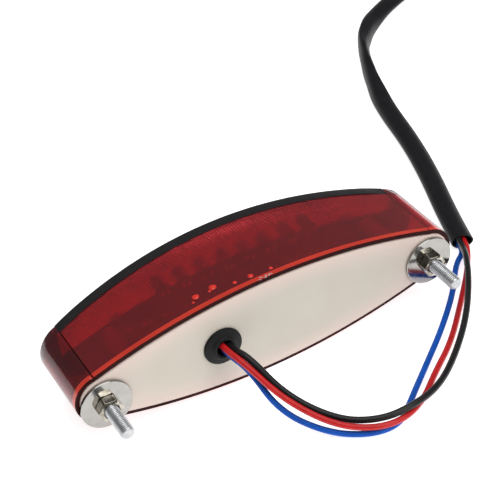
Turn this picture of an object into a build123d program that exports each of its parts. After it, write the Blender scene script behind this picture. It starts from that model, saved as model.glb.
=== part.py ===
"""Motorcycle tail light with a cat-eye lens, standing on its lower long edge.

+X runs along the lens, +Y points out of the crowned front, +Z is up. The studs and the cable
leave the back plate along -Y. The origin is under the middle of the lamp, on the table.
Millimetres.
"""
import os
from math import cos, radians, sin, tan

from build123d import *

# Lens outline, seen along Y: two long arcs that meet the round end caps at a crease
length = 150.0
crease_x = 67.0
crease_half_height = 9.4
half_height = 19.8
middle_z = half_height  # the outline's long axis
# Lens depth
front_y = 29.15  # highest point of the crown
end_front_y = 20.15  # crown at the two ends
rim_y = -10.65  # open rim at the back
lens_wall = 1.6
front_thickness = 3.2
# Black trim let into the front edge of both long walls
trim_depth = 4.4
trim_thickness = 1.2
trim_half_length = 66.6
# Back plate and the glue behind it
plate_proud = 0.65
plate_thickness = 2.75
plate_gap = 0.15
plate_edge_radius = 0.5
glue_width = 1.1
plate_back = rim_y - plate_proud
plate_front = plate_back + plate_thickness
# M5 studs with their washers and nuts
stud_x = 64.6
stud_z = middle_z - 2.4
stud_radius = 2.5
shank_radius = 2.25  # core size, inside the plate, the washer and the nut
stud_tip_y = -29.15
stud_head_height = 3.5
across_flats = 8.0
washer_radius = 9.45
washer_hole_radius = 2.6
washer_thickness = 1.2
nut_height = 4.0
nut_bore_radius = 2.55
nut_turn = -4.5
washer_face = plate_back - washer_thickness
nut_face = washer_face - nut_height
# Grommet
grommet_x = -20.0
grommet_z = middle_z
grommet_radius = 7.2
grommet_height = 2.3
grommet_neck = 5.0
grommet_inner_radius = 6.4
grommet_bore = 3.0
wire_start_y = -10.5  # inside the grommet
# Circuit board, on four posts of the plate
board_back = 9.4
board_thickness = 1.6
board_front = board_back + board_thickness
board_inset = 4.2
post_radius = 3.2
post_x = 52.0
post_z = 6.2
screw_radius = 1.2
screw_head_radius = 2.3
screw_head_height = 1.6
# Lamps on the board
led_pitch = 8.4
led_radius = 2.5
led_flange_radius = 2.9
led_flange = 1.0
led_body = 8.6
led_rows = [(13.0, 8), (4.4, 12), (-4.4, 12), (-13.0, 8)]  # height from the middle, count
solder_radius = 0.9
lead_spacing = 2.54
# Wires and sleeve
wire_radius = 1.1
black_wire_radius = 1.2
tip_radius = 0.6
tip_length = 6.0
sleeve_width = 9.0
sleeve_height = 6.0
sleeve_z = 3.05

os.makedirs("parts", exist_ok=True)


def save(piece, name):
    piece.label = name
    export_step(piece, f"parts/{name}.step")


def outline(y, inset=0.0):
    """The cat-eye outline in a plane across the lamp, drawn inset from the lens's outside."""
    top, bottom = middle_z + crease_half_height, middle_z - crease_half_height
    with BuildSketch(Plane.XZ.offset(-y)) as eye:
        with BuildLine():
            ThreePointArc((crease_x, top), (0, middle_z + half_height), (-crease_x, top))
            ThreePointArc((-crease_x, top), (-length / 2, middle_z), (-crease_x, bottom))
            ThreePointArc((-crease_x, bottom), (0, middle_z - half_height), (crease_x, bottom))
            ThreePointArc((crease_x, bottom), (length / 2, middle_z), (crease_x, top))
        make_face()
        if inset:
            offset(amount=-inset, kind=Kind.INTERSECTION, mode=Mode.REPLACE)
    return eye.sketch


def crowned_block(back, inset=0.0, below_crown=0.0):
    """The lens's outline from a flat back to the crowned front, or to a surface behind it."""
    with BuildPart() as block:
        extrude(outline(back, inset), amount=-(front_y - back + 1))
        with BuildSketch(Plane.XY) as side:
            with BuildLine():
                left = (-length / 2, end_front_y - below_crown)
                right = (length / 2, end_front_y - below_crown)
                crown = ThreePointArc(left, (0, front_y - below_crown), right)
                Polyline(crown @ 1, (length / 2, back - 1), (-length / 2, back - 1), crown @ 0)
            make_face()
        extrude(amount=2 * middle_z, mode=Mode.INTERSECT)
    return block.part


def along_y(x, z, y):
    """A plane that faces -Y, out of the back of the lamp."""
    return Plane(origin=(x, y, z), x_dir=(1, 0, 0), z_dir=(0, -1, 0))


# Trim strips: the outer skin of the lens's front edge, between the creases
with BuildPart() as trim_ring:
    add(crowned_block(rim_y))
    add(crowned_block(rim_y - 2, trim_thickness), mode=Mode.SUBTRACT)
    add(crowned_block(rim_y - 2, -1, trim_depth), mode=Mode.SUBTRACT)
    with BuildSketch(Plane.XY):
        Rectangle(2 * trim_half_length, 200)
    extrude(amount=2 * middle_z, mode=Mode.INTERSECT)

with BuildPart() as trim_upper:
    add(trim_ring.part)
    split(bisect_by=Plane.XY.offset(middle_z), keep=Keep.TOP)

with BuildPart() as trim_lower:
    add(trim_ring.part)
    split(bisect_by=Plane.XY.offset(middle_z), keep=Keep.BOTTOM)

save(trim_upper.part, "trim_upper")
save(trim_lower.part, "trim_lower")

# Lens: a shell, open at the back, with the rebates that the trim fills
with BuildPart() as lens:
    add(crowned_block(rim_y))
    add(crowned_block(rim_y - 2, lens_wall, front_thickness), mode=Mode.SUBTRACT)
    add(trim_ring.part, mode=Mode.SUBTRACT)

save(lens.part, "lens")

# Back plate, a little proud of the rim, with four posts for the board
with BuildPart() as back_plate:
    extrude(outline(plate_back, lens_wall + plate_gap), amount=-plate_thickness)
    outer_face = back_plate.faces().sort_by(Axis.Y)[0]
    fillet(outer_face.edges(), plate_edge_radius)
    with BuildSketch(Plane.XZ.offset(-plate_front)):
        with Locations((0, middle_z)):
            with GridLocations(2 * post_x, 2 * post_z, 2, 2):
                Circle(post_radius)
    extrude(amount=-(board_back - plate_front))
    with BuildSketch(Plane.XZ.offset(-board_back)):
        with Locations((0, middle_z)):
            with GridLocations(2 * post_x, 2 * post_z, 2, 2):
                Circle(screw_radius)
    extrude(amount=6, mode=Mode.SUBTRACT)
    with BuildSketch(Plane.XZ.offset(-plate_front)):
        with Locations((stud_x, stud_z), (-stud_x, stud_z)):
            Circle(shank_radius)
        with Locations((grommet_x, grommet_z)):
            Circle(grommet_neck)
    extrude(amount=plate_thickness, mode=Mode.SUBTRACT)

save(back_plate.part, "back_plate")

# Glue bead in the corner between the plate and the wall
with BuildPart() as glue_bead:
    extrude(outline(plate_front, lens_wall), amount=-glue_width)
    extrude(outline(plate_front, lens_wall + glue_width), amount=-glue_width, mode=Mode.SUBTRACT)

save(glue_bead.part, "glue_bead")

# Circuit board with screw holes
with BuildPart() as circuit_board:
    extrude(outline(board_back, board_inset), amount=-board_thickness)
    with BuildSketch(Plane.XZ.offset(-board_back)):
        with Locations((0, middle_z)):
            with GridLocations(2 * post_x, 2 * post_z, 2, 2):
                Circle(screw_radius)
    extrude(amount=-board_thickness, mode=Mode.SUBTRACT)

save(circuit_board.part, "circuit_board")

with BuildPart() as board_screws:
    with BuildSketch(Plane.XZ.offset(-board_front)):
        with Locations((0, middle_z)):
            with GridLocations(2 * post_x, 2 * post_z, 2, 2):
                Circle(screw_head_radius)
    extrude(amount=-screw_head_height)
    fillet(board_screws.faces().filter_by(Axis.Y).sort_by(Axis.Y)[-4:].edges(), 0.7)
    with BuildSketch(Plane.XZ.offset(-board_front)):
        with Locations((0, middle_z)):
            with GridLocations(2 * post_x, 2 * post_z, 2, 2):
                Circle(screw_radius)
    extrude(amount=board_thickness + 5)

save(board_screws.part, "board_screws")


def row_places(height, count):
    """Centres of one row of lamps, as (x, z)."""
    first = -(count - 1) / 2 * led_pitch
    return [(first + i * led_pitch, middle_z + height) for i in range(count)]


def led_row(places):
    with BuildPart() as row:
        with BuildSketch(Plane.XZ.offset(-board_front)):
            with Locations(places):
                Circle(led_flange_radius)
        extrude(amount=-led_flange)
        with BuildSketch(Plane.XZ.offset(-board_front)):
            with Locations(places):
                Circle(led_radius)
        extrude(amount=-led_body)
        tips = row.faces().filter_by(Axis.Y).sort_by(Axis.Y)[-len(places):]
        fillet(tips.edges(), led_radius - 0.3)
    return row.part


for name, (height, count) in zip(
    ["leds_top", "leds_upper", "leds_lower", "leds_bottom"], led_rows, strict=True
):
    save(led_row(row_places(height, count)), name)

# Two solder joints behind every lamp
joint_places = [
    (x + side * lead_spacing / 2, z)
    for height, count in led_rows
    for x, z in row_places(height, count)
    for side in (-1, 1)
]
with BuildPart() as solder_joints:
    with BuildSketch(Plane.XZ.offset(-board_back)):
        with Locations(joint_places):
            Circle(solder_radius)
    extrude(amount=1.1, taper=25)

save(solder_joints.part, "solder_joints")

# Series resistors and polarity diodes on the back of the board
resistor_size = (3.2, 1.6, 0.7)
diode_size = (5.2, 2.7, 2.2)
resistor_places = [(x, middle_z) for x in (-42, -33.6, 8.4, 16.8, 25.2, 33.6, 42)]
diode_places = [(-6, middle_z + 8.6), (2.4, middle_z + 8.6)]
with BuildPart() as resistors:
    with BuildSketch(Plane.XZ.offset(-board_back)):
        with Locations(resistor_places):
            Rectangle(resistor_size[0], resistor_size[1])
    extrude(amount=resistor_size[2])

save(resistors.part, "resistors")

with BuildPart() as diodes:
    with BuildSketch(Plane.XZ.offset(-board_back)):
        with Locations(diode_places):
            Rectangle(diode_size[0], diode_size[1])
    extrude(amount=diode_size[2])

save(diodes.part, "diodes")

# Studs, washers and nuts, once for each end
for side, x in (("left", -stud_x), ("right", stud_x)):
    with BuildPart() as stud:
        with BuildSketch(along_y(x, stud_z, plate_front + stud_head_height)):
            RegularPolygon(across_flats / 2, 6, major_radius=False)
        extrude(amount=stud_head_height)
        with BuildSketch(along_y(x, stud_z, plate_front)):
            Circle(shank_radius)
        extrude(amount=plate_front - nut_face)
        with BuildSketch(along_y(x, stud_z, nut_face)):
            Circle(stud_radius)
        extrude(amount=nut_face - stud_tip_y)
        chamfer(stud.faces().sort_by(Axis.Y)[0].edges(), 0.6)

    save(stud.part, f"stud_{side}")

    with BuildPart() as washer:
        with BuildSketch(along_y(x, stud_z, plate_back)):
            Circle(washer_radius)
            Circle(washer_hole_radius, mode=Mode.SUBTRACT)
        extrude(amount=washer_thickness)

    save(washer.part, f"washer_{side}")

    with BuildPart() as nut:
        with BuildSketch(along_y(x, stud_z, washer_face)):
            RegularPolygon(across_flats / 2, 6, major_radius=False, rotation=nut_turn)
        extrude(amount=nut_height)
        # The chamfer that turns the corners off both faces
        with BuildSketch(along_y(x, stud_z, washer_face)):
            Circle(across_flats / 2 + 0.62)
        extrude(amount=nut_height, mode=Mode.INTERSECT)
        with BuildSketch(along_y(x, stud_z, washer_face)):
            Circle(nut_bore_radius)
        extrude(amount=nut_height, mode=Mode.SUBTRACT)

    save(nut.part, f"nut_{side}")

# Grommet: a domed flange outside, a neck in the plate and a flange inside
with BuildPart() as grommet:
    with BuildSketch(Plane(origin=(grommet_x, 0, grommet_z), x_dir=(1, 0, 0), z_dir=(0, 0, 1))):
        dome_y = plate_back - grommet_height
        with BuildLine():
            Polyline(
                (grommet_bore, dome_y),
                (grommet_bore, plate_front + 1.4),
                (grommet_inner_radius, plate_front + 1.4),
                (grommet_inner_radius, plate_front),
                (grommet_neck, plate_front),
                (grommet_neck, plate_back),
                (grommet_radius, plate_back),
                (grommet_radius, plate_back - 0.8),
            )
            ThreePointArc((grommet_radius, plate_back - 0.8), (5.6, dome_y + 0.35), (grommet_bore, dome_y))
        make_face()
    revolve(axis=Axis((grommet_x, 0, grommet_z), (0, 1, 0)))

save(grommet.part, "grommet")

# The wires inside, straight from the board through the grommet
wire_offsets = {"red": (-0.8, 1.3), "blue": (0.2, -1.5), "black": (1.6, 0.6)}
wire_sizes = {"red": wire_radius, "blue": wire_radius, "black": black_wire_radius}
for colour, (dx, dz) in wire_offsets.items():
    with BuildPart() as lead:
        with BuildSketch(along_y(grommet_x + dx, grommet_z + dz, board_back)):
            Circle(wire_sizes[colour])
        extrude(amount=board_back - wire_start_y)
    save(lead.part, f"lead_{colour}")


def bend_radii(points):
    """The largest arc for each corner: 0.45 of the shorter run beside it."""
    radii = []
    for before, here, after in zip(points, points[1:], points[2:]):
        arriving = Vector(*here) - Vector(*before)
        leaving = Vector(*after) - Vector(*here)
        turn = radians(arriving.get_angle(leaving))
        radii.append(0.45 * min(arriving.length, leaving.length) / tan(turn / 2))
    return radii


def tube(name, points, section):
    """A cord's solid: its section swept along straight runs joined by tangent arcs."""
    radii = bend_radii(points)
    with BuildPart() as cord:
        with BuildLine() as route:
            FilletPolyline(*points, radius=radii)
        heading = Vector(*points[1]) - Vector(*points[0])
        across = Vector(0, 0, 1).cross(heading)
        with BuildSketch(Plane(origin=points[0], x_dir=across, z_dir=heading)) as profile:
            section()
        sweep(path=route.wires()[0], transition=Transition.RIGHT)
    run = route.wires()[0].length
    print(name, "length", round(run, 1), "radii", [round(r, 1) for r in radii])
    print(name, "volume", round(cord.part.volume), "of", round(run * profile.sketch.area))
    save(cord.part, name)


# The sleeve lies on the table, past the right end of the lamp and away behind it
sleeve_route = [
    (91.5, 5.0, sleeve_z),
    (97.0, 22.0, sleeve_z),
    (107.3, 49.5, sleeve_z),
    (115.3, 75.5, sleeve_z),
    (121.6, 104.0, sleeve_z),
    (131.0, 132.0, sleeve_z),
    (145.5, 161.0, sleeve_z),
    (169.5, 182.0, sleeve_z),
    (190.0, 189.5, sleeve_z),
]
tube("sleeve", sleeve_route, lambda: Ellipse(sleeve_width / 2, sleeve_height / 2))


def beside(end, heading, side, up):
    """A wire's centre in one end of the sleeve, counted to the right and up from its middle."""
    right = Vector(*heading).normalized().cross(Vector(0, 0, 1))
    return Vector(*end) + right * side + Vector(0, 0, up)


mouth = sleeve_route[0]
mouth_heading = Vector(*sleeve_route[1]) - Vector(*mouth)
tail = sleeve_route[-1]
tail_heading = Vector(*tail) - Vector(*sleeve_route[-2])
lead_in = 5.0  # straight stretch of each wire at the sleeve's ends
# Each wire's place in the sleeve's two ends: to the right, and up
mouth_places = {"red": (0.4, 0.35), "blue": (-1.3, -1.3), "black": (-2.6, 0.9)}
tail_places = {"red": (2.4, 0.0), "blue": (-2.4, 0.0), "black": (0.0, 0.0)}

# From the grommet down to the table, round in a wide bend and back to the sleeve's mouth
near_routes = {
    "red": [
        (-18.5, -24.7, 22.2),
        (-12.0, -38.7, 12.5),
        (-2.6, -53.0, 5.6),
        (8.3, -60.9, 3.9),
        (19.1, -62.6, 3.3),
        (30.0, -58.2, 2.9),
        (41.2, -48.8, 2.3),
        (55.9, -37.8, 1.3),
        (72.0, -21.5, 1.8),
        (84.5, -8.0, 1.3),
    ],
    "blue": [
        (-18.1, -23.6, 14.5),
        (-14.5, -38.9, 7.0),
        (-4.3, -52.7, 2.4),
        (7.4, -60.6, 1.3),
        (18.5, -61.9, 1.3),
        (27.7, -54.4, 1.9),
        (40.5, -43.9, 1.7),
        (56.0, -31.4, 1.8),
        (71.2, -17.5, 2.8),
        (81.2, -5.0, 3.4),
    ],
    "black": [
        (-13.6, -24.0, 22.6),
        (-10.4, -37.2, 11.6),
        (0.1, -52.0, 5.3),
        (12.4, -59.9, 4.9),
        (25.0, -60.9, 5.8),
        (36.9, -57.0, 4.4),
        (49.6, -48.0, 3.5),
        (64.6, -34.8, 5.4),
        (76.7, -19.8, 7.4),
        (82.4, -4.6, 7.4),
    ],
}
tail_routes = {
    "red": [(206.5, 190.6, 1.9), (217.0, 189.2, 1.3)],
    "blue": [(203.0, 199.5, 1.9), (213.0, 203.5, 1.3)],
    "black": [(205.0, 195.2, 2.0), (215.5, 196.8, 1.3)],
}
tips = []
for colour, (dx, dz) in wire_offsets.items():
    start = Vector(grommet_x + dx, wire_start_y, grommet_z + dz)
    straight = start - Vector(0, lead_in, 0)
    end = beside(mouth, mouth_heading, *mouth_places[colour])
    before_end = end - mouth_heading.normalized() * lead_in
    near = [tuple(start), tuple(straight), *near_routes[colour], tuple(before_end), tuple(end)]
    tube(f"wire_{colour}", near, lambda: Circle(wire_sizes[colour]))
    out = beside(tail, tail_heading, *tail_places[colour])
    after_out = out + tail_heading.normalized() * lead_in
    far = [tuple(out), tuple(after_out), *tail_routes[colour]]
    tube(f"tail_{colour}", far, lambda: Circle(wire_sizes[colour]))
    tips.append((far[-1], Vector(*far[-1]) - Vector(*far[-2])))

# Stripped and tinned ends of the three wires
with BuildPart() as wire_ends:
    for place, heading in tips:
        with BuildSketch(Plane(origin=place, z_dir=heading)):
            Circle(tip_radius)
        extrude(amount=tip_length)

save(wire_ends.part, "wire_ends")
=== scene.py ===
"""Motorcycle tail light with a cat-eye lens, lying on its long edge on a plain white table.

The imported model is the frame: +X runs along the lens, +Y out of its crowned front, +Z up.
Meshes are drawn in millimetres and scaled to metres as each piece is finished.
"""
import random
from math import acos, atan2, copysign, cos, hypot, pi, radians, sin, sqrt, tan

import bmesh
import bpy
from mathutils import Matrix, Vector


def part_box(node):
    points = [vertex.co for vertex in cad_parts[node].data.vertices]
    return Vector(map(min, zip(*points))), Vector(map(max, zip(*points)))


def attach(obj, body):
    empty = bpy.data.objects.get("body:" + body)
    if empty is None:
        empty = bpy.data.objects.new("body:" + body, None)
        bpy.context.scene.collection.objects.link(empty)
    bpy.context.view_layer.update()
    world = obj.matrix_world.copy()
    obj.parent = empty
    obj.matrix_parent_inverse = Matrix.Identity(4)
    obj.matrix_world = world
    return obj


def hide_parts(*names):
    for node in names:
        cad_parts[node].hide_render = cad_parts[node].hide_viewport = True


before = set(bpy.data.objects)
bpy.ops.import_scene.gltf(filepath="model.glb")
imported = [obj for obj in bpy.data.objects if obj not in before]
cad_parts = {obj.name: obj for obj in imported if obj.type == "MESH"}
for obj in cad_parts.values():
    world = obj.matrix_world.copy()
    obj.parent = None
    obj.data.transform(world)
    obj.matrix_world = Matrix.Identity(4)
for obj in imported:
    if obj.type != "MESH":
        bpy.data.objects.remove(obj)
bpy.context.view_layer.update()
mm = 0.001


def span(node):
    """The extents of a CAD node along x, y and z, in millimetres."""
    low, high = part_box(node)
    return [(a / mm, b / mm) for a, b in zip(low, high)]


# ---------------------------------------------------------------- camera

camera_place = Vector((-0.1641, -0.3589, 0.3424))
camera_right = Vector((0.8688, -0.4841, -0.1043)).normalized()
camera_ahead = Vector((0.3322, 0.7259, -0.6022)).normalized()


def add_camera():
    """A long lens that looks down on the back plate from the left, turned a little clockwise."""
    up = camera_right.cross(camera_ahead).normalized()
    turn = Matrix((camera_ahead.cross(up), up, -camera_ahead)).transposed()
    data = bpy.data.cameras.new("camera")
    data.sensor_width = 36.0
    data.lens = 104.1
    data.clip_start = 0.01
    camera = bpy.data.objects.new("camera", data)
    camera.matrix_world = Matrix.Translation(camera_place) @ turn.to_4x4()
    bpy.context.collection.objects.link(camera)
    bpy.context.scene.camera = camera


# ---------------------------------------------------------------- materials


def principled(name, **values):
    """A new material and its tree, with plain values set on the shader's own sockets."""
    made = bpy.data.materials.new(name)
    made.use_nodes = True
    tree = made.node_tree
    shader = tree.nodes["Principled BSDF"]
    for socket, value in values.items():
        shader.inputs[socket.replace("_", " ")].default_value = value
    return made, tree, shader


def noise(tree, grain, detail=4.0, stretch=(1, 1, 1)):
    """3-D noise with features of about grain millimetres, stretched along the object's axes."""
    place = tree.nodes.new("ShaderNodeTexCoord")
    mapping = tree.nodes.new("ShaderNodeMapping")
    mapping.inputs["Scale"].default_value = stretch
    texture = tree.nodes.new("ShaderNodeTexNoise")
    texture.inputs["Scale"].default_value = 1 / (grain * mm)
    texture.inputs["Detail"].default_value = detail
    tree.links.new(place.outputs["Object"], mapping.inputs["Vector"])
    tree.links.new(mapping.outputs["Vector"], texture.inputs["Vector"])
    return texture.outputs["Fac"]


def spread(tree, source, low, high):
    """Maps the middle of a noise to the range from low to high."""
    ranged = tree.nodes.new("ShaderNodeMapRange")
    for socket, value in (("From Min", 0.3), ("From Max", 0.7), ("To Min", low), ("To Max", high)):
        ranged.inputs[socket].default_value = value
    tree.links.new(source, ranged.inputs["Value"])
    return ranged.outputs["Result"]


def blend(tree, factor, first, second):
    """A colour between two others, each a plain colour or a socket."""
    mix = tree.nodes.new("ShaderNodeMix")
    mix.data_type = "RGBA"
    tree.links.new(factor, mix.inputs["Factor"])
    for name, colour in (("A", first), ("B", second)):
        socket = [s for s in mix.inputs if s.name == name and s.type == "RGBA"][0]
        if isinstance(colour, tuple):
            socket.default_value = (*colour, 1)
        else:
            tree.links.new(colour, socket)
    return [s for s in mix.outputs if s.type == "RGBA"][0]


def bump(tree, shader, height, distance, strength=1.0):
    """Bump of the given height in millimetres on the shader's normal."""
    node = tree.nodes.new("ShaderNodeBump")
    node.inputs["Distance"].default_value = distance * mm
    node.inputs["Strength"].default_value = strength
    tree.links.new(height, node.inputs["Height"])
    tree.links.new(node.outputs["Normal"], shader.inputs["Normal"])


def surface(name, light, dark, rough, grain=1.0, height=0.01, stretch=(1, 1, 1), **values):
    """A material whose colour, roughness and relief vary with broad and fine noise."""
    made, tree, shader = principled(name, **values)
    broad = noise(tree, grain * 9, 3.0)
    fine = noise(tree, grain, 5.0, stretch)
    both = blend(tree, spread(tree, broad, 0.0, 1.0), light, dark)
    flecked = blend(tree, spread(tree, fine, 0.0, 0.35), both, dark)
    tree.links.new(flecked, shader.inputs["Base Color"])
    tree.links.new(spread(tree, fine, *rough), shader.inputs["Roughness"])
    bump(tree, shader, fine, height)
    return made


def plate_material():
    """Cream moulded plastic, painted lighter and pinkish towards its edges as a painted highlight."""
    made, tree, shader = principled("plate_plastic", Roughness=0.4)
    place = tree.nodes.new("ShaderNodeTexCoord")
    shifted = tree.nodes.new("ShaderNodeMapping")
    (x0, x1), _, (z0, z1) = span("back_plate")
    shifted.inputs["Location"].default_value = (0, 0, -(z0 + z1) / (z1 - z0))
    shifted.inputs["Scale"].default_value = (2 / (x1 - x0) / mm, 0, 2 / (z1 - z0) / mm)
    size = tree.nodes.new("ShaderNodeVectorMath")
    size.operation = "LENGTH"
    tree.links.new(place.outputs["Object"], shifted.inputs["Vector"])
    tree.links.new(shifted.outputs["Vector"], size.inputs[0])
    edge = tree.nodes.new("ShaderNodeMapRange")
    edge.interpolation_type = "SMOOTHSTEP"
    for socket, value in (("From Min", 0.55), ("From Max", 1.05), ("To Min", 0), ("To Max", 1)):
        edge.inputs[socket].default_value = value
    tree.links.new(size.outputs["Value"], edge.inputs["Value"])
    broad = noise(tree, 14.0, 2.0)
    fine = noise(tree, 0.5, 6.0)
    cream = blend(tree, spread(tree, broad, 0, 1), (0.575, 0.53, 0.455), (0.55, 0.50, 0.425))
    # Painted highlight: towards the edge the cream is mixed to a lighter pink
    edge_painted_light = blend(tree, edge.outputs["Result"], cream, (0.68, 0.555, 0.495))
    tree.links.new(edge_painted_light, shader.inputs["Base Color"])
    tree.links.new(spread(tree, fine, 0.3, 0.45), shader.inputs["Roughness"])
    bump(tree, shader, fine, 0.012)
    return made


def lens_material(name, light, dark, clear, rough, gloss=0.5):
    """Red moulded plastic with faint flow marks; clear is the share of light that it lets by."""
    made, tree, shader = principled(
        name, Transmission_Weight=clear, IOR=1.49, Specular_IOR_Level=gloss
    )
    broad = noise(tree, 11.0, 2.0)
    fine = noise(tree, 0.8, 3.0)
    red = blend(tree, spread(tree, broad, 0, 1), light, dark)
    tree.links.new(red, shader.inputs["Base Color"])
    tree.links.new(spread(tree, fine, *rough), shader.inputs["Roughness"])
    bump(tree, shader, broad, 0.02)
    return made


def board_material():
    """Solder mask over copper tracks that run along the board."""
    made, tree, shader = principled("board_mask", Coat_Weight=0.4, Coat_Roughness=0.15)
    place = tree.nodes.new("ShaderNodeTexCoord")
    tracks = tree.nodes.new("ShaderNodeTexBrick")
    upright = tree.nodes.new("ShaderNodeMapping")
    upright.inputs["Rotation"].default_value = (radians(90), 0, 0)
    tracks.inputs["Scale"].default_value = 1 / (8 * mm)
    tracks.inputs["Mortar Size"].default_value = 0.05
    tracks.inputs["Color1"].default_value = (0.03, 0.13, 0.06, 1)
    tracks.inputs["Color2"].default_value = (0.02, 0.10, 0.05, 1)
    tracks.inputs["Mortar"].default_value = (0.05, 0.22, 0.10, 1)
    tree.links.new(place.outputs["Object"], upright.inputs["Vector"])
    tree.links.new(upright.outputs["Vector"], tracks.inputs["Vector"])
    fine = noise(tree, 0.4, 5.0)
    mottled = blend(tree, spread(tree, fine, 0, 0.3), tracks.outputs["Color"], (0.02, 0.08, 0.04))
    tree.links.new(mottled, shader.inputs["Base Color"])
    tree.links.new(spread(tree, fine, 0.25, 0.4), shader.inputs["Roughness"])
    bump(tree, shader, tracks.outputs["Fac"], 0.035)
    return made


materials = {
    "lens": lens_material(
        "lens_red", (0.58, 0.036, 0.048), (0.48, 0.030, 0.046), 0.80, (0.06, 0.12), 0.4
    ),
    # Painted shade: a darker copy of the lens red, used for the left end cap alone
    "lens_end_painted_shade": lens_material(
        "lens_end_painted_shade", (0.28, 0.018, 0.027), (0.21, 0.015, 0.025), 0.80, (0.08, 0.14), 0.15
    ),
    # Painted light: a brighter, less clear red for the band along the rim, standing in for light from
    # the plate's edge behind it
    "lens_band_painted_light": lens_material(
        "lens_band_painted_light", (0.90, 0.062, 0.030), (0.78, 0.048, 0.026), 0.30, (0.12, 0.25)
    ),
    # Painted shade: a near-black, opaque red for the rim's end face, the crease lines and the rounds at
    # the cap edges
    "lens_rim_painted_shade": lens_material(
        "lens_rim_painted_shade", (0.030, 0.003, 0.003), (0.020, 0.002, 0.002), 0.0, (0.3, 0.45), 0.08
    ),
    "cement": lens_material(
        "cement_red", (0.95, 0.045, 0.022), (0.85, 0.035, 0.02), 0.15, (0.08, 0.16), 0.35
    ),
    "trim": surface(
        "trim_black", (0.020, 0.018, 0.019), (0.013, 0.012, 0.013), (0.36, 0.50), 0.7, 0.01,
        Specular_IOR_Level=0.2,
    ),
    "plate": plate_material(),
    "glue": surface("glue", (0.62, 0.50, 0.46), (0.50, 0.38, 0.34), (0.2, 0.4), 1.2, 0.08),
    "board": board_material(),
    "zinc": surface(
        "zinc_plate", (0.60, 0.61, 0.62), (0.42, 0.43, 0.44), (0.28, 0.45), 0.25, 0.006,
        Metallic=0.85,
    ),
    # Painted shade: a darker zinc for the roots of the thread
    "zinc_root_painted_shade": surface(
        "zinc_root_painted_shade", (0.25, 0.255, 0.26), (0.16, 0.16, 0.165), (0.4, 0.6), 0.25, 0.006,
        Metallic=0.7,
    ),
    "washer": surface(
        "nickel_polished", (0.39, 0.378, 0.36), (0.34, 0.33, 0.31), (0.09, 0.16), 0.3, 0.002,
        (0.15, 1, 1), Metallic=1.0,
    ),
    "nut": surface(
        "nickel_nut", (0.64, 0.615, 0.55), (0.24, 0.215, 0.17), (0.06, 0.13), 0.3, 0.003,
        (1, 0.2, 1), Metallic=1.0,
    ),
    "led": surface(
        "led_epoxy", (0.42, 0.03, 0.03), (0.30, 0.02, 0.02), (0.1, 0.2), 1.0, 0.004,
        Transmission_Weight=0.5,
    ),
    "solder": surface(
        "solder", (0.72, 0.72, 0.71), (0.55, 0.55, 0.55), (0.15, 0.35), 0.3, 0.01, Metallic=1.0
    ),
    "component": surface(
        "component_epoxy", (0.04, 0.04, 0.042), (0.02, 0.02, 0.02), (0.4, 0.6), 0.2, 0.01
    ),
    "rubber": surface(
        "grommet_rubber", (0.010, 0.010, 0.010), (0.006, 0.006, 0.006), (0.42, 0.6), 0.35, 0.02,
        Specular_IOR_Level=0.15,
    ),
    "sleeve": surface(
        "sleeve_vinyl", (0.010, 0.010, 0.012), (0.006, 0.006, 0.008), (0.38, 0.52), 0.6, 0.02,
        Specular_IOR_Level=0.2,
    ),
    "red": surface(
        "vinyl_red", (0.62, 0.014, 0.014), (0.50, 0.008, 0.010), (0.28, 0.42), 0.5, 0.01,
        Specular_IOR_Level=0.35,
    ),
    "blue": surface(
        "vinyl_blue", (0.004, 0.100, 0.52), (0.003, 0.070, 0.40), (0.32, 0.46), 0.5, 0.01,
        Specular_IOR_Level=0.2,
    ),
    "black": surface(
        "vinyl_black", (0.010, 0.009, 0.010), (0.006, 0.006, 0.007), (0.28, 0.42), 0.5, 0.01,
        Specular_IOR_Level=0.3,
    ),
    "tinned": surface(
        "tinned_copper", (0.78, 0.74, 0.70), (0.62, 0.56, 0.50), (0.2, 0.35), 0.2, 0.004,
        Metallic=1.0,
    ),
}


# ---------------------------------------------------------------- mesh tools


def loft(mesh, rings, closed=False):
    """A skin over rings of points. A ring of one point is a pole; closed joins last to first."""
    made = [[mesh.verts.new(point) for point in ring] for ring in rings]
    pairs = list(zip(made, made[1:]))
    if closed:
        pairs.append((made[-1], made[0]))
    for one, other in pairs:
        count = max(len(one), len(other))
        for i in range(count):
            j = (i + 1) % count
            near = (one[i % len(one)], one[j % len(one)])
            far = (other[j % len(other)], other[i % len(other)])
            corners = list(dict.fromkeys(near + far))
            if len(corners) > 2:
                mesh.faces.new(corners)
    return made


def turned(mesh, profile, x, z, steps=48, closed=False):
    """A profile of (radius, y) points turned about the line along Y through (x, z)."""
    angles = [2 * pi * i / steps for i in range(steps)]
    rings = []
    for radius, y in profile:
        if radius:
            rings.append([(x + radius * cos(a), y, z + radius * sin(a)) for a in angles])
        else:
            rings.append([(x, y, z)])
    return loft(mesh, rings, closed)


def piece(name, mesh, finish, body="lamp", crease=38.0):
    """The drawn mesh as a smooth-shaded object in metres that rides on a body."""
    bmesh.ops.remove_doubles(mesh, verts=mesh.verts, dist=0.0005)
    bmesh.ops.recalc_face_normals(mesh, faces=mesh.faces)
    for face in mesh.faces:
        face.smooth = True
    for edge in mesh.edges:
        edge.smooth = edge.calc_face_angle(0.0) < radians(crease)
    bmesh.ops.transform(mesh, matrix=Matrix.Scale(mm, 4), verts=mesh.verts)
    data = bpy.data.meshes.new(name)
    mesh.to_mesh(data)
    mesh.free()
    for each in (finish,) if isinstance(finish, str) else finish:
        data.materials.append(materials[each])
    made = bpy.data.objects.new(name, data)
    bpy.context.collection.objects.link(made)
    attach(made, body)
    return made


# ---------------------------------------------------------------- lead: wires and sleeve

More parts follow.
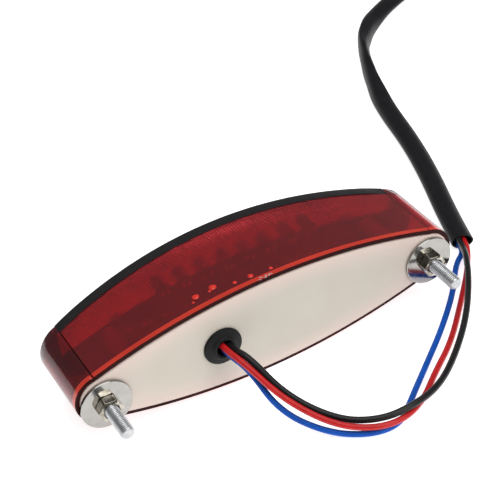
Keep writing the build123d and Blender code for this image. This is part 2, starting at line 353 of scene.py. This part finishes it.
wire_start_y = -10.5
lead_in = 5.0
sleeve_width = 9.0
sleeve_height = 6.0
sleeve_z = 3.05
sleeve_wall = 0.55
wire_sizes = {"red": 2.2, "blue": 2.2, "black": 2.4}
wire_offsets = {"red": (-0.8, 1.3), "blue": (0.2, -1.5), "black": (1.6, 0.6)}
# Places in the sleeve's two ends, to the right of its middle and above it
mouth_places = {"red": (0.6, 0.3), "blue": (-1.3, -1.3), "black": (-1.5, 1.5)}
tail_places = {"red": (2.4, 0.0), "blue": (-2.4, 0.0), "black": (0.0, 0.0)}
# How far each rises between the two ends, where black passes over blue
lifts = {"red": 0.0, "blue": -0.6, "black": 0.75}

sleeve_route = [
    (91.5, 5.0, sleeve_z),
    (97.0, 22.0, sleeve_z),
    (107.3, 49.5, sleeve_z),
    (115.3, 75.5, sleeve_z),
    (121.6, 104.0, sleeve_z),
    (131.0, 132.0, sleeve_z),
    (145.5, 161.0, sleeve_z),
    (169.5, 182.0, sleeve_z),
    (190.0, 189.5, sleeve_z),
]
near_routes = {
    "red": [
        (-19.0, -24.9, 21.2),
        (-12.6, -38.9, 11.6),
        (-2.6, -53.0, 5.6),
        (8.3, -60.9, 3.9),
        (19.1, -62.6, 3.3),
        (30.0, -58.2, 2.9),
        (41.2, -48.8, 2.3),
        (55.9, -37.8, 1.3),
        (72.0, -21.5, 1.8),
        (84.5, -8.0, 1.3),
    ],
    "blue": [
        (-17.0, -23.9, 16.6),
        (-14.5, -38.9, 7.0),
        (-4.3, -52.7, 2.4),
        (7.4, -60.6, 1.3),
        (18.5, -61.9, 1.3),
        (27.7, -54.4, 1.9),
        (40.5, -43.9, 1.7),
        (56.0, -31.4, 1.8),
        (71.2, -17.5, 2.8),
        (81.2, -5.0, 3.4),
    ],
    "black": [
        (-16.7, -24.3, 22.2),
        (-10.9, -37.3, 11.4),
        (0.1, -52.0, 5.3),
        (12.4, -59.9, 4.9),
        (25.0, -60.9, 5.8),
        (36.9, -57.0, 4.4),
        (49.6, -48.0, 3.5),
        (64.6, -34.8, 5.4),
        (76.7, -19.8, 7.4),
        (84.9, -6.8, 7.0),
    ],
}
tail_routes = {
    "red": [(206.5, 190.6, 1.9), (217.0, 189.2, 1.3)],
    "blue": [(203.0, 199.5, 1.9), (213.0, 203.5, 1.3)],
    "black": [(205.0, 195.2, 2.0), (215.5, 196.8, 1.3)],
}
# The soft sleeve lies flat at its ends and stands on its edge in the middle of its length:
# (share of its length, half-turns from flat, width and height as shares of the CAD tube's)
sleeve_shape = [
    (0.00, 0.00, 0.98, 1.10),
    (0.10, 0.00, 0.98, 1.00),
    (0.30, 0.02, 0.96, 0.98),
    (0.48, 0.10, 0.94, 0.94),
    (0.60, 0.34, 0.94, 0.88),
    (0.68, 0.47, 0.96, 0.86),
    (0.78, 0.70, 0.96, 0.92),
    (0.90, 0.95, 0.98, 1.00),
    (1.00, 1.00, 1.00, 1.00),
]


def sleeve_section(share):
    """The sleeve's turn, half width, half height and the height of its middle over the table."""
    for one, other in zip(sleeve_shape, sleeve_shape[1:]):
        if share <= other[0] + 1e-9:
            break
    t = (share - one[0]) / (other[0] - one[0])
    t = t * t * (3 - 2 * t)
    turn, wide, high = (a + (b - a) * t for a, b in zip(one[1:], other[1:]))
    wide *= sleeve_width / 2
    high *= sleeve_height / 2
    middle = hypot(wide * sin(pi * turn), high * cos(pi * turn))
    return pi * turn, wide, high, middle


def smooth_line(name, points):
    """A curve object of one open NURBS spline with the points, in millimetres, as its controls."""
    data = bpy.data.curves.new(name, "CURVE")
    data.dimensions = "3D"
    data.resolution_u = 10
    spline = data.splines.new("NURBS")
    spline.points.add(len(points) - 1)
    for control, point in zip(spline.points, points):
        control.co = (*(Vector(point) * mm), 1)
    spline.order_u = 3
    spline.use_endpoint_u = True
    made = bpy.data.objects.new(name, data)
    bpy.context.collection.objects.link(made)
    return made


def line_points(points):
    """Points along the smooth line through a route, in millimetres, and each one's share."""
    line = smooth_line("line", points)
    mesh = bpy.data.meshes.new_from_object(line)
    found = [vertex.co / mm for vertex in mesh.vertices]
    bpy.data.objects.remove(line)
    bpy.data.meshes.remove(mesh)
    along = [0.0]
    for one, other in zip(found, found[1:]):
        along.append(along[-1] + (other - one).length)
    return found, [a / along[-1] for a in along]


def headings(points):
    """The direction of a line at each of its points."""
    ends = zip([points[0], *points[:-1]], [*points[1:], points[-1]])
    return [(Vector(b) - Vector(a)).normalized() for a, b in ends]


def wire_route(colour):
    """A whole wire: out of the grommet, round to the sleeve, through it and out of its end."""
    (x0, x1), _, (z0, z1) = span("grommet")
    dx, dz = wire_offsets[colour]
    start = Vector(((x0 + x1) / 2 + dx, wire_start_y, (z0 + z1) / 2 + dz))
    route = [start, start - Vector((0, lead_in, 0)), *near_routes[colour]]
    last = len(sleeve_route) - 1
    inside = []
    for i, (point, heading) in enumerate(zip(sleeve_route, headings(sleeve_route))):
        share = i / last
        turn, _, _, middle = sleeve_section(share)
        side, up = (a + (b - a) * share for a, b in zip(mouth_places[colour], tail_places[colour]))
        up += lifts[colour] * sin(pi * share)
        if i == last:
            turn = 0.0
        right = heading.cross(Vector((0, 0, 1)))
        across = side * cos(turn) - up * sin(turn)
        height = middle + side * sin(turn) + up * cos(turn)
        inside.append(Vector((point[0], point[1], height)) + right * across)
    ahead = headings(sleeve_route)
    route += [inside[0] - ahead[0] * lead_in, *inside, inside[-1] + ahead[-1] * lead_in]
    route += tail_routes[colour]
    return [Vector(point) for point in route]


def add_wire(colour):
    route = wire_route(colour)
    wire = smooth_line(f"cord_{colour}", route)
    wire.data.bevel_depth = wire_sizes[colour] / 2 * mm
    wire.data.bevel_resolution = 5
    wire.data.use_fill_caps = True
    wire.data.materials.append(materials[colour])
    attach(wire, "lamp")
    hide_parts(f"wire_{colour}", f"tail_{colour}")
    return wire, route


def add_sleeve():
    """A thin soft tube over the three wires, open at both ends."""
    centres, shares = line_points(sleeve_route)
    outer, inner = [], []
    steps = 40
    for centre, heading, share in zip(centres, headings(centres), shares):
        turn, wide, high, middle = sleeve_section(share)
        right = heading.cross(Vector((0, 0, 1)))
        base = Vector((centre.x, centre.y, middle))
        for ring, wall in ((outer, 0.0), (inner, sleeve_wall)):
            points = []
            for k in range(steps):
                a = 2 * pi * k / steps
                # A soft tube pressed flat comes to a thinner edge at its sides than an ellipse
                across = (wide - wall) * cos(a)
                up = (high - wall) * sin(a) * (1 - 0.1 * (1 + cos(2 * a)))
                sideways = across * cos(turn) - up * sin(turn)
                upward = across * sin(turn) + up * cos(turn)
                points.append(base + right * sideways + Vector((0, 0, upward)))
            ring.append(points)
    mesh = bmesh.new()
    loft(mesh, outer + inner[::-1], closed=True)
    sleeve = piece("sleeve_tube", mesh, "sleeve", crease=60)
    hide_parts("sleeve")
    return sleeve


def add_wire_tips(routes):
    """Seven twisted, tinned strands at the end of each wire."""
    tip_length, strand, lay = 6.0, 0.2, 7.0
    mesh = bmesh.new()
    for route in routes:
        start, ahead = route[-1], (route[-1] - route[-2]).normalized()
        side = ahead.cross(Vector((0, 0, 1))).normalized()
        up = side.cross(ahead)
        for k in range(7):
            reach = 0.0 if k == 6 else 2 * strand
            rings = []
            for i in range(17):
                along = tip_length * i / 16
                turn = 2 * pi * (k / 6 + along / lay)
                middle = start + ahead * (along - 0.2)
                middle = middle + (side * cos(turn) + up * sin(turn)) * reach
                turns = [pi / 4 * j for j in range(8)]
                rings.append([middle + (side * cos(a) + up * sin(a)) * strand for a in turns])
            ends = [[ring[0].lerp(ring[4], 0.5)] for ring in (rings[0], rings[-1])]
            loft(mesh, [ends[0], *rings, ends[1]])
    tips = piece("wire_tips", mesh, "tinned", crease=60)
    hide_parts("wire_ends")
    return tips


def add_lead():
    wires = {colour: add_wire(colour) for colour in ("red", "blue", "black")}
    sleeve = add_sleeve()
    tips = add_wire_tips([route for _, route in wires.values()])


def add_inner_leads():
    """The same wires inside the lamp, from the back of the board to the grommet."""
    for colour, (dx, dz) in wire_offsets.items():
        (x0, x1), (y0, y1), (z0, z1) = span(f"lead_{colour}")
        x, z = (x0 + x1) / 2, (z0 + z1) / 2
        lead = smooth_line(f"inner_{colour}", [(x, y1, z), (x, y1 - 4, z), (x, y0 + 4, z), (x, y0, z)])
        lead.data.bevel_depth = wire_sizes[colour] / 2 * mm
        lead.data.bevel_resolution = 4
        lead.data.materials.append(materials[colour])
        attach(lead, "lamp")
        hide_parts(f"lead_{colour}")


# ---------------------------------------------------------------- lens and trim

(lens_x0, lens_x1), (rim_y, front_y), (lens_z0, lens_z1) = span("lens")
half_length = (lens_x1 - lens_x0) / 2
half_height = (lens_z1 - lens_z0) / 2
middle_z = (lens_z0 + lens_z1) / 2
crease_x = 67.0
crease_half_height = 9.4
end_front_y = 20.15
lens_wall = 1.6
front_thickness = 3.2
trim_depth = 4.4
trim_thickness = 1.2
edge = 0.15  # small round along the lens's edges
crease_notch = 0.14  # line pressed in where an end cap meets a long wall
band_width = 2.2  # band of wall along the rim, in front of the plate's edge, painted brighter red as painted light
trim_proud = 0.3
trim_gap = 0.02  # between the strip and its rebate
trim_fade = 7.0  # length over which a strip sinks flush towards each end
flutes = 128  # along each long wall
flute_depth = 0.28
flute_steps = 4
board_y = 9.4

rise = half_height - crease_half_height
long_radius = (crease_x**2 + rise**2) / (2 * rise)
long_drop = long_radius - half_height  # the long arc's centre, below the middle
cap_x = (half_length**2 - crease_x**2 - crease_half_height**2) / (2 * (half_length - crease_x))
cap_radius = half_length - cap_x
crown_rise = front_y - end_front_y
crown_radius = (half_length**2 + crown_rise**2) / (2 * crown_rise)
cap_steps = 22
long_steps = flutes * flute_steps
half_steps = long_steps + 2 * cap_steps


def crown(x):
    """The y of the lens's front at x."""
    return front_y - crown_radius + sqrt(crown_radius**2 - min(abs(x), half_length) ** 2)


def upper_outline(inset, flute=0.0, long_inset=0.0, notch=0.0):
    """(x, z) along the upper half of the cat-eye outline, from the left tip to the right one.

    long_inset is taken off the long arc alone, flute is how deep its flutes are, and notch is
    how deep a line is pressed in at each crease."""
    big, small = long_radius - inset, cap_radius - inset
    apart = hypot(cap_x, long_drop)
    half_angle = atan2(cap_x, long_drop) - acos((big**2 + apart**2 - small**2) / (2 * big * apart))
    crease = Vector((big * sin(half_angle) - cap_x, big * cos(half_angle) - long_drop))
    cap_angle = atan2(crease.x, crease.y)
    right = []
    for i in range(cap_steps):
        a = cap_angle + (pi / 2 - cap_angle) * (cap_steps - i) / cap_steps
        right.append((cap_x + small * sin(a), small * cos(a)))
    left = [(-x, z) for x, z in right]
    long_arc = []
    for i in range(long_steps + 1):
        at_crease = i in (0, long_steps)
        a = half_angle * (2 * i / long_steps - 1)
        wave = 0.5 - 0.5 * cos(2 * pi * i / flute_steps)
        radius = big - (notch if at_crease else long_inset + flute * wave)
        long_arc.append((radius * sin(a), radius * cos(a) - long_drop))
    return left + long_arc + right[::-1]


def lens_ring(inset, depth, **shape):
    """A whole ring of the lens. depth gives a point's y from its x, and flutes sink y too."""
    flute = shape.get("flute", 0.0)
    upper = upper_outline(inset, **shape)
    ring = []
    for i, (x, z) in enumerate(upper):
        on_long = cap_steps < i < cap_steps + long_steps
        wave = (0.5 - 0.5 * cos(2 * pi * (i - cap_steps) / flute_steps)) if on_long and flute else 0.0
        ring.append(Vector((x, depth(x) - wave * flute, z)))
    lower = [Vector((p.x, p.y, -p.z)) for p in ring[-2:0:-1]]
    return [p + Vector((0, 0, middle_z)) for p in ring + lower]


def on_cap_edge(corners):
    """Whether points lie on the small round between an end cap and the front, off the tip."""
    slack, round_size, tip_size = 0.01, 0.5, 0.3
    for corner in corners:
        depth = crown(corner.x) - corner.y
        inset = cap_radius - hypot(abs(corner.x) - cap_x, corner.z - middle_z)
        if abs(corner.x) < crease_x - slack or max(depth, inset) > round_size + slack or inset < -slack:
            return False
    return max(abs(corner.z - middle_z) for corner in corners) > tip_size


def lens_zone(corners):
    """The number of a lens face's material: 0 lens, 1 band painted brighter (painted light), 2 lines
    painted near-black (painted shade), 3 left end painted darker (painted shade).
    """
    at_crease = all(crease_x - 0.6 < abs(corner.x) < crease_x + 0.05 for corner in corners)
    outside = all(abs(corner.z - middle_z) > crease_half_height - 0.6 for corner in corners)
    highest = max(corner.y for corner in corners)
    strip = len(corners) == 4
    # Painted shade: the rim's end face, the lines at the creases and the rounds at the cap edges get
    # the near-black red
    if highest < rim_y + 2 * edge or (at_crease and outside) or (strip and on_cap_edge(corners)):
        return 2
    # Painted light: the band of wall along the rim gets the brighter, less clear red
    if highest < rim_y + band_width + edge:
        return 1
    # Painted shade: only the left end cap's outer wall gets the darker red, the right one keeps the
    # lens red
    if strip and max(corner.x for corner in corners) < 0.05 - crease_x:
        return 3
    return 0


def flat(y):
    return lambda x: y


def below_crown(depth):
    return lambda x: crown(x) - depth


def add_lens():
    """One shell: front, outer wall with the trim's rebate, rim and fluted inner wall."""
    rebate = {"long_inset": trim_thickness}
    fluted = {"flute": flute_depth}
    rings = [
        lens_ring(0.5, below_crown(0.0), **rebate),
        lens_ring(0.15, below_crown(0.15), **rebate),
        lens_ring(0.0, below_crown(0.5), **rebate),
        lens_ring(0.0, below_crown(trim_depth), **rebate),
        lens_ring(0.0, below_crown(trim_depth), notch=crease_notch),
        lens_ring(0.0, flat(rim_y + band_width), notch=crease_notch),
        lens_ring(0.0, flat(rim_y + edge), notch=crease_notch),
        lens_ring(edge, flat(rim_y)),
        lens_ring(lens_wall - edge, flat(rim_y)),
        lens_ring(lens_wall, flat(rim_y + edge)),
        lens_ring(lens_wall, flat(board_y - 3.0)),
        lens_ring(lens_wall, flat(board_y), flute=flute_depth * 0.8),
        lens_ring(lens_wall, below_crown(front_thickness + 0.6), **fluted),
        lens_ring(lens_wall + 0.5, below_crown(front_thickness), **fluted),
    ]
    mesh = bmesh.new()
    made = loft(mesh, rings)
    for ring in (made[0], made[-1]):
        count = len(ring)
        for i in range(half_steps):
            corners = [ring[i], ring[i + 1], ring[count - i - 1], ring[(count - i) % count]]
            mesh.faces.new(list(dict.fromkeys(corners)))
    for face in mesh.faces:
        face.material_index = lens_zone([corner.co for corner in face.verts])
    lens = piece("lens_shell", mesh, ("lens", "lens_band_painted_light", "lens_rim_painted_shade", "lens_end_painted_shade"), crease=30)
    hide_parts("lens")


def add_drop(mesh, x, y, radius, turn):
    """A low, slightly uneven drop on the outside of the upper long wall."""
    height, sunk = 0.42 * radius, 0.06
    angle = atan2(x, sqrt(long_radius**2 - x**2))
    out = Vector((sin(angle), 0, cos(angle)))
    along = Vector((cos(angle), 0, -sin(angle)))
    base = Vector((0, y, middle_z - long_drop)) + out * (long_radius - sunk)
    rings = []
    for i in range(6):
        a = pi / 2 * i / 6
        ring = []
        for k in range(20):
            b = 2 * pi * k / 20
            reach = radius * cos(a) * (1 + 0.05 * sin(3 * b + turn) + 0.03 * sin(5 * b))
            spot = along * reach * cos(b) + Vector((0, 1, 0)) * reach * sin(b)
            ring.append(base + spot + out * height * sin(a))
        rings.append(ring)
    loft(mesh, [[base], *rings, [base + out * height]])


def add_glue_marks():
    """Drops of red cement on the upper wall, and a pale smear of glue across the rim."""
    drops = bmesh.new()
    for x, y, radius in (
        (-24.0, -4.0, 1.3), (-25.9, -5.9, 0.5), (-17.2, -3.6, 1.4), (-18.9, -4.6, 0.6),
        (-10.0, -6.3, 0.75), (-4.0, -6.6, 1.05), (3.8, -7.0, 0.75),
    ):
        add_drop(drops, x, y, radius, x)
    piece("cement_drops", drops, "cement", crease=60)
    smear = bmesh.new()
    smear_start, smear_step, smear_y = -3.0, 0.42, -10.0
    random.seed(4)
    for i in range(14):
        x = smear_start + smear_step * i
        y = smear_y + random.uniform(-0.55, 0.7)
        add_drop(smear, x, y, random.uniform(0.18, 0.42), x)
    piece("glue_smear", smear, "glue", crease=60)


def add_trim():
    """The two black strips that fill the rebates."""
    for name, sign, proud in (("upper", 1, trim_proud), ("lower", -1, 0.0)):
        corners = [
            (-proud, trim_depth - 0.03),
            (-proud, 0.2),
            (0.1 - proud, -0.1),
            (0.4 - proud, -trim_proud),
            (trim_thickness - trim_gap, -trim_proud),
            (trim_thickness - trim_gap, trim_depth - 0.03),
        ]
        lines = {inset: upper_outline(0.0, long_inset=inset) for inset, _ in corners}
        flush = upper_outline(0.0)
        first, last = cap_steps + 1, cap_steps + long_steps - 1
        rings = []
        for i in range(first, last + 1, 2):
            ring = []
            fade = min(1.0, max(0.0, (crease_x - 0.3 - abs(flush[i][0])) / trim_fade))
            for inset, depth in corners:
                x, z = lines[inset][i]
                if inset < 0:
                    x, z = (a + (b - a) * fade for a, b in zip(flush[i], (x, z)))
                if i in (first, last):
                    x += copysign(0.24, x)  # up to the end cap
                y = crown(x) - max(depth, -trim_proud * fade)
                ring.append((x, y, middle_z + sign * z))
            rings.append(ring)
        mesh = bmesh.new()
        made = loft(mesh, rings)
        mesh.faces.new(made[0])
        mesh.faces.new(made[-1])
        strip = piece(f"trim_strip_{name}", mesh, "trim", crease=50)
        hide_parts(f"trim_{name}")


# ---------------------------------------------------------------- inside the lamp

led_pitch = 8.4
led_rows = {"top": (13.0, 8), "upper": (4.4, 12), "lower": (-4.4, 12), "bottom": (-13.0, 8)}
leg_spacing = 2.54


def row_places(height, count):
    first = -(count - 1) / 2 * led_pitch
    return [(first + i * led_pitch, middle_z + height) for i in range(count)]


def add_leds():
    """5 mm lamps: a flange, a straight body and a round tip, with the metal cup inside."""
    base = board_y + 1.6
    dome = [(2.5 * cos(a), base + 6.1 + 2.5 * sin(a)) for a in (pi / 12 * i for i in range(6))]
    body = [(0, base + 0.02), (2.8, base + 0.02), (2.9, base + 0.12), (2.9, base + 0.9)]
    body += [(2.8, base + 1.0), (2.5, base + 1.0), *dome, (0, base + 8.6)]
    cup = [(0, base + 4.6), (0.5, base + 4.6), (1.15, base + 5.3), (1.25, base + 5.3)]
    cup += [(1.2, base + 4.2), (0.4, base + 3.6), (0.3, base + 1.2), (0, base + 1.2)]
    frames = bmesh.new()
    for row, (height, count) in led_rows.items():
        mesh = bmesh.new()
        for x, z in row_places(height, count):
            turned(mesh, body, x, z, 28)
            turned(frames, cup, x, z, 12)
        lamps = piece(f"led_bodies_{row}", mesh, "led")
        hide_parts(f"leds_{row}")
    piece("led_frames", frames, "zinc")


def add_solder():
    """A cone with hollow sides round each leg's cut end, on the back of the board."""
    mesh = bmesh.new()
    cone = [(0.9, board_y), (0.62, board_y - 0.18), (0.42, board_y - 0.5), (0.32, board_y - 0.85)]
    cone += [(0.24, board_y - 1.08), (0, board_y - 1.1)]
    for height, count in led_rows.values():
        for x, z in row_places(height, count):
            for side in (-1, 1):
                turned(mesh, cone, x + side * leg_spacing / 2, z, 14)
    solder = piece("solder_cones", mesh, "solder")
    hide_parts("solder_joints")


def finish_cad_nodes():
    """Materials for the CAD nodes whose shape stays as it is."""
    kept = {
        "back_plate": "plate",
        "glue_bead": "glue",
        "circuit_board": "board",
        "board_screws": "zinc",
        "resistors": "component",
        "diodes": "component",
    }
    for node, finish in kept.items():
        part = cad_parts[node]
        if not part.material_slots:
            part.data.materials.append(None)
        for material_slot in part.material_slots:
            material_slot.material = materials[finish]


# ---------------------------------------------------------------- grommet, studs, washers, nuts


def add_grommet():
    """Rubber flange with a rounded shoulder and a raised lip round the wires."""
    (x0, x1), (top, inner), (z0, z1) = span("grommet")
    plate_back = span("back_plate")[1][0]
    radius = (x1 - x0) / 2
    shoulder = [
        (radius - 0.5 + 0.5 * cos(a), plate_back - 0.6 - 0.5 * sin(a))
        for a in (pi / 10 * i for i in range(5))
    ]
    profile = [
        (3.0, top + 0.35),
        (3.0, inner - 0.3),
        (3.3, inner),
        (6.1, inner),
        (6.4, inner - 0.3),
        (6.4, inner - 1.38),
        (4.98, inner - 1.42),
        (4.98, plate_back - 0.02),
        (radius - 0.1, plate_back - 0.02),
        (radius, plate_back - 0.12),
        *shoulder,
        (6.1, plate_back - 1.25),
        (5.5, plate_back - 1.5),
        (4.9, plate_back - 1.55),
        (4.7, plate_back - 1.75),
        (4.5, plate_back - 2.1),
        (4.1, top + 0.02),
        (3.6, top),
        (3.2, top + 0.1),
    ]
    mesh = bmesh.new()
    turned(mesh, profile, (x0 + x1) / 2, (z0 + z1) / 2, 64, closed=True)
    grommet = piece("grommet_rubber", mesh, "rubber", crease=60)
    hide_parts("grommet")


def add_stud(side):
    """A hex head inside the plate and an M5 thread down to a chamfered tip."""
    (x0, x1), (tip, head), (z0, z1) = span(f"stud_{side}")
    x, z = (x0 + x1) / 2, (z0 + z1) / 2
    head_base = head - 3.5
    pitch, crest, root, chamfer = 0.8, 2.47, 2.03, 0.6
    around, per_turn = 36, 10
    mesh = bmesh.new()
    thread_start = head_base - 1.5
    count = round((thread_start - tip) / pitch * per_turn)
    rings = []
    for i in range(count + 1):
        y = thread_start + (tip - thread_start) * i / count
        limit = crest + 0.02 - max(0.0, chamfer - (y - tip))
        ring = []
        for k in range(around):
            turn = k / around
            wave = abs(2 * (((thread_start - y) / pitch - turn) % 1.0) - 1)
            flank = min(1.0, max(0.0, (wave - 0.1) / 0.75))
            radius = min(limit, root + (crest - root) * flank)
            ring.append((x + radius * cos(2 * pi * turn), y, z + radius * sin(2 * pi * turn)))
        rings.append(ring)

    def circle(radius, y):
        turns = [2 * pi * k / around for k in range(around)]
        return [(x + radius * cos(a), y, z + radius * sin(a)) for a in turns]

    inner_end = [[(x, head_base - 0.3, z)], circle(root, head_base - 0.3)]
    outer_end = [circle(1.2, tip + 0.02), [(x, tip + 0.12, z)]]
    loft(mesh, [*inner_end, *rings, *outer_end])
    for face in mesh.faces:
        middle = face.calc_center_median()
        reach = hypot(middle.x - x, middle.z - z)
        # Painted shade: faces down in the thread's roots get the darker zinc
        if middle.y > tip + chamfer and reach < root + 0.35 * (crest - root):
            face.material_index = 1
    hexagon(mesh, x, z, head, head_base, 0.0, 0.0)
    stud = piece(f"stud_thread_{side}", mesh, ("zinc", "zinc_root_painted_shade"), crease=50)
    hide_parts(f"stud_{side}")


def hexagon(mesh, x, z, front, back, bore, turn):
    """A hexagon of 8 mm across its flats with turned corners, solid or with a bore."""
    steps, flat_radius, corner_limit, bevel = 96, 4.0, 4.52, 3.62

    def ring(radius_at, y_at):
        points = []
        for k in range(steps):
            a = 2 * pi * k / steps
            across = a % (pi / 3) - pi / 6
            side = min(corner_limit, flat_radius / cos(across))
            radius, y = radius_at(side), y_at(side)
            points.append((x + radius * cos(a + turn), y, z + radius * sin(a + turn)))
        return points

    slope = tan(radians(30))
    rings = []
    for face, inward in ((front, -1), (back, 1)):
        half = [
            ring(lambda side: bore or 0.01, lambda side: face + inward * (0.45 if bore else 0.0)),
            ring(lambda side: (bore + 0.45) if bore else 0.02, lambda side: face),
            ring(lambda side: bevel, lambda side: face),
            ring(
                lambda side: side - 0.05,
                lambda side: face + inward * ((side - 0.05 - bevel) * slope + 0.01),
            ),
            ring(lambda side: side, lambda side: face + inward * ((side - bevel) * slope + 0.08)),
        ]
        rings += half if face == front else half[::-1]
    loft(mesh, rings, closed=bool(bore))
    if not bore:
        bmesh.ops.holes_fill(mesh, edges=[e for e in mesh.edges if e.is_boundary], sides=0)


def add_washer(side):
    (x0, x1), (outer, inner), (z0, z1) = span(f"washer_{side}")
    radius = (x1 - x0) / 2
    x, z = (x0 + x1) / 2, (z0 + z1) / 2
    hole, r = 2.6, 0.22
    profile = [
        (hole, outer + r),
        (hole + r, outer),
        (radius - 0.5, outer),
        (radius - 0.15, outer + 0.07),
        (radius, outer + 0.3),
        (radius, inner - 0.15),
        (radius - 0.15, inner),
        (hole + r, inner),
        (hole, inner - r),
    ]
    mesh = bmesh.new()
    turned(mesh, profile, x, z, 96, closed=True)
    washer = piece(f"washer_ring_{side}", mesh, "washer", f"washer_{side}", crease=30)
    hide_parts(f"washer_{side}")


def add_nut(side):
    (x0, x1), (outer, inner), (z0, z1) = span(f"nut_{side}")
    x, z = (x0 + x1) / 2, (z0 + z1) / 2
    mesh = bmesh.new()
    hexagon(mesh, x, z, inner, outer, 2.55, radians(-4.5))
    nut = piece(f"nut_hex_{side}", mesh, "nut", f"nut_{side}", crease=25)
    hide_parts(f"nut_{side}")


# ---------------------------------------------------------------- table and light


def add_table():
    mesh = bmesh.new()
    bmesh.ops.create_grid(mesh, x_segments=8, y_segments=8, size=2.5)
    data = bpy.data.meshes.new("table")
    mesh.to_mesh(data)
    mesh.free()
    made, tree, shader = principled(
        "table_white", Roughness=0.7, Specular_IOR_Level=0.2, Emission_Strength=0.75
    )
    shader.inputs["Emission Color"].default_value = (1, 1, 1, 1)
    pale = blend(tree, spread(tree, noise(tree, 60.0), 0, 1), (0.93, 0.93, 0.93), (0.91, 0.91, 0.915))
    tree.links.new(pale, shader.inputs["Base Color"])
    data.materials.append(made)
    table = bpy.data.objects.new("table", data)
    bpy.context.collection.objects.link(table)


def add_light(name, place, target, size, power, colour=(1, 1, 1)):
    data = bpy.data.lights.new(name, "AREA")
    data.shape = "RECTANGLE"
    data.size, data.size_y = size
    data.energy = power
    data.color = colour
    light = bpy.data.objects.new(name, data)
    light.location = place
    light.rotation_mode = "QUATERNION"
    light.rotation_quaternion = (Vector(target) - Vector(place)).to_track_quat("-Z", "Y")
    bpy.context.collection.objects.link(light)


def light_scene():
    world = bpy.data.worlds.new("studio")
    world.use_nodes = True
    background = world.node_tree.nodes["Background"]
    background.inputs["Color"].default_value = (1, 1, 1, 1)
    background.inputs["Strength"].default_value = 0.22
    bpy.context.scene.world = world
    bpy.context.scene.view_settings.view_transform = "Standard"
    add_light("top", (0.1, -0.1, 1.1), (0, 0, 0), (1.2, 1.2), 9)
    add_light("front", (0.45, -1.1, 0.75), (0, 0, 0.02), (0.6, 0.5), 5)


add_camera()
add_lead()
add_inner_leads()
add_lens()
add_glue_marks()
add_trim()
add_leds()
add_solder()
finish_cad_nodes()
add_grommet()
for side in ("left", "right"):
    add_stud(side)
    add_washer(side)
    add_nut(side)
add_table()
light_scene()
